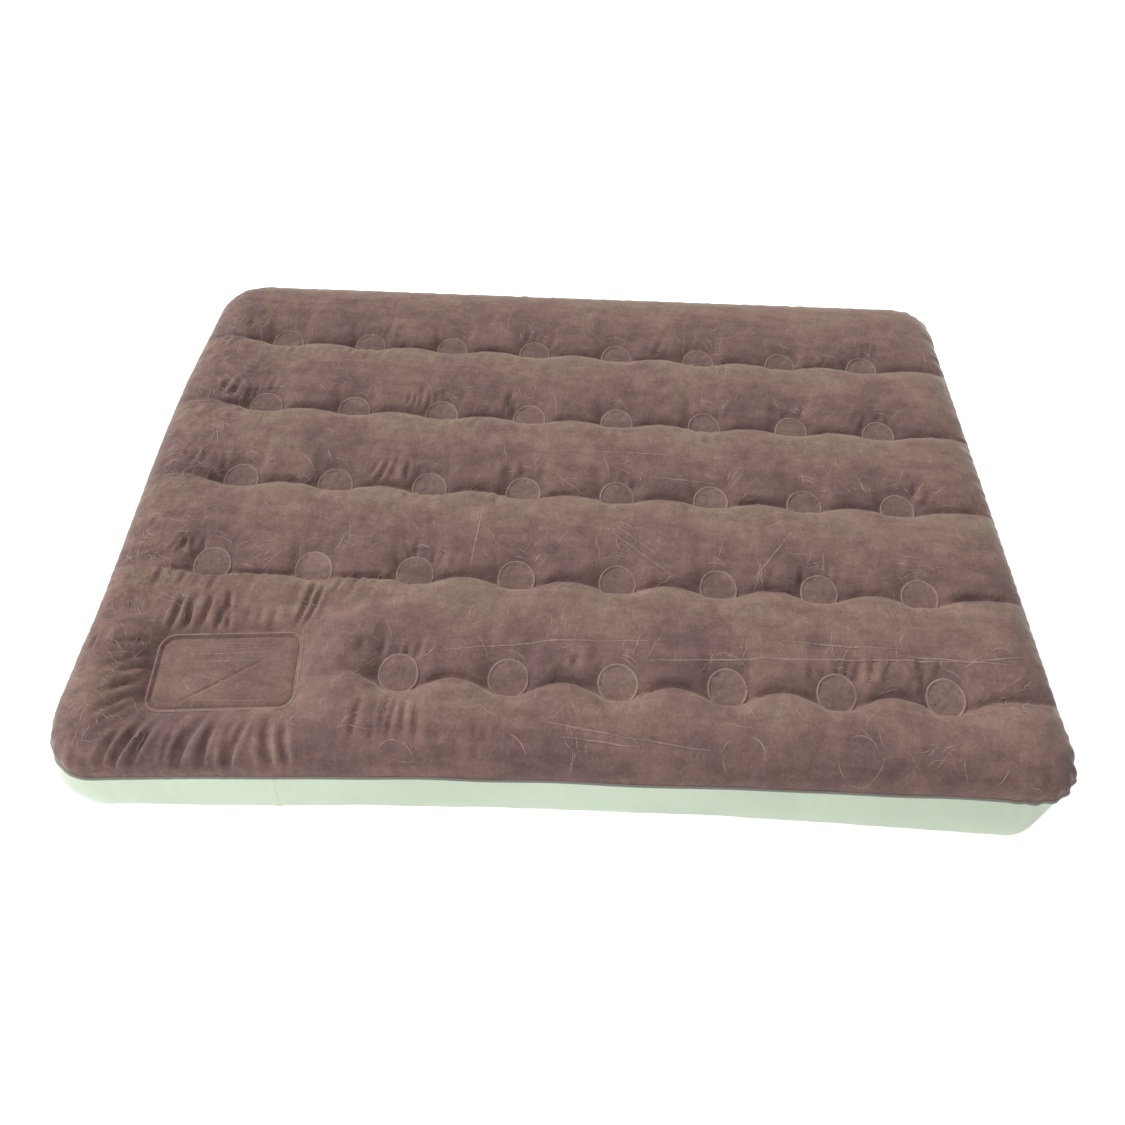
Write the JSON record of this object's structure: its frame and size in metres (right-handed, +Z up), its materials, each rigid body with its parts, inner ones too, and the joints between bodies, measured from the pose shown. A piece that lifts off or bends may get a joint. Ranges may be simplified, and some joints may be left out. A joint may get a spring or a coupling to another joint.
{
  "type": "air mattress",
  "caption": "Inflatable double bed with a flocked tufted top, pale side band, air coils inside, a corner foot pump and capped end-wall valves.",
  "frame": {"origin": "middle of the bed at floor level", "axes": "+X along the length, away from the end with the valves; +Y across the bed, away from the side with the pump; +Z up"},
  "size_m": [1.91, 1.37, 0.22],
  "materials": {
    "flocked_top": "short velour flock",
    "side_film": "smooth vinyl",
    "bottom_film": "smooth vinyl",
    "coil_film": "smooth vinyl",
    "weld_seam": "welded vinyl edge",
    "foam": "open-cell foam",
    "valve_plastic": "moulded vinyl",
    "flap_rubber": "soft rubber"
  },
  "bodies": {
    "bed": {"top_sheet": "flocked_top", "side_band": "side_film", "bottom_sheet": "bottom_film", "top_seam": "weld_seam", "bottom_seam": "weld_seam", "band_lap_weld": "side_film", "pump_rim": "flocked_top", "pump_pocket": "bottom_film", "pump_foam": "foam", "intake_base": "valve_plastic", "intake_duct": "bottom_film", "outlet_seat": "valve_plastic", "valve_base": "valve_plastic", "valve_seal": "flap_rubber", "coil_r1_c3": "coil_film", "coil_r1_c4": "coil_film", "coil_r1_c5": "coil_film", "coil_r1_c6": "coil_film", "coil_r1_c7": "coil_film", "coil_r1_c8": "coil_film", "coil_r2_c1": "coil_film", "coil_r2_c2": "coil_film", "coil_r2_c3": "coil_film", "coil_r2_c4": "coil_film", "coil_r2_c5": "coil_film", "coil_r2_c6": "coil_film", "coil_r2_c7": "coil_film", "coil_r2_c8": "coil_film", "coil_r3_c1": "coil_film", "coil_r3_c2": "coil_film", "coil_r3_c3": "coil_film", "coil_r3_c4": "coil_film", "coil_r3_c5": "coil_film", "coil_r3_c6": "coil_film", "coil_r3_c7": "coil_film", "coil_r3_c8": "coil_film", "coil_r4_c1": "coil_film", "coil_r4_c2": "coil_film", "coil_r4_c3": "coil_film", "coil_r4_c4": "coil_film", "coil_r4_c5": "coil_film", "coil_r4_c6": "coil_film", "coil_r4_c7": "coil_film", "coil_r4_c8": "coil_film", "coil_r5_c1": "coil_film", "coil_r5_c2": "coil_film", "coil_r5_c3": "coil_film", "coil_r5_c4": "coil_film", "coil_r5_c5": "coil_film", "coil_r5_c6": "coil_film", "coil_r5_c7": "coil_film", "coil_r5_c8": "coil_film"},
    "pump_panel": {"pump_panel": "flocked_top"},
    "valve_insert": {"valve_insert": "valve_plastic"},
    "valve_cap": {"valve_cap": "valve_plastic"},
    "valve_flap": {"valve_flap": "flap_rubber"},
    "intake_cap": {"intake_cap": "valve_plastic"},
    "intake_flap": {"intake_flap": "flap_rubber"},
    "outlet_flap": {"outlet_flap": "flap_rubber"}
  },
  "joints": [
    {"name": "pump_press", "type": "slide", "parent": "bed", "child": "pump_panel", "axis": [0, 0, -1], "range_m": [0, 0.09], "stiffness_N_per_m": 3000, "deforming": ["pump_foam"]},
    {"name": "valve_pull", "type": "slide", "parent": "bed", "child": "valve_insert", "axis": [-1, 0, 0], "range_m": [0, 0.03]},
    {"name": "valve_cap_flip", "type": "hinge", "parent": "valve_insert", "child": "valve_cap", "pos_m": [-0.9523, -0.23, 0.1167], "axis": [0, 1, 0], "range_deg": [0, 140]},
    {"name": "valve_flap_swing", "type": "hinge", "parent": "valve_insert", "child": "valve_flap", "pos_m": [-0.9352, -0.23, 0.1078], "axis": [0, -1, 0], "range_deg": [0, 35]},
    {"name": "intake_cap_flip", "type": "hinge", "parent": "bed", "child": "intake_cap", "pos_m": [-0.9523, -0.5, 0.11375], "axis": [0, 1, 0], "range_deg": [0, 140]},
    {"name": "intake_flap_swing", "type": "hinge", "parent": "bed", "child": "intake_flap", "pos_m": [-0.9352, -0.5, 0.1043], "axis": [0, -1, 0], "range_deg": [0, 35]},
    {"name": "outlet_flap_swing", "type": "hinge", "parent": "bed", "child": "outlet_flap", "pos_m": [-0.5022, -0.5, 0.1058], "axis": [0, -1, 0], "range_deg": [0, 35]}
  ]
}
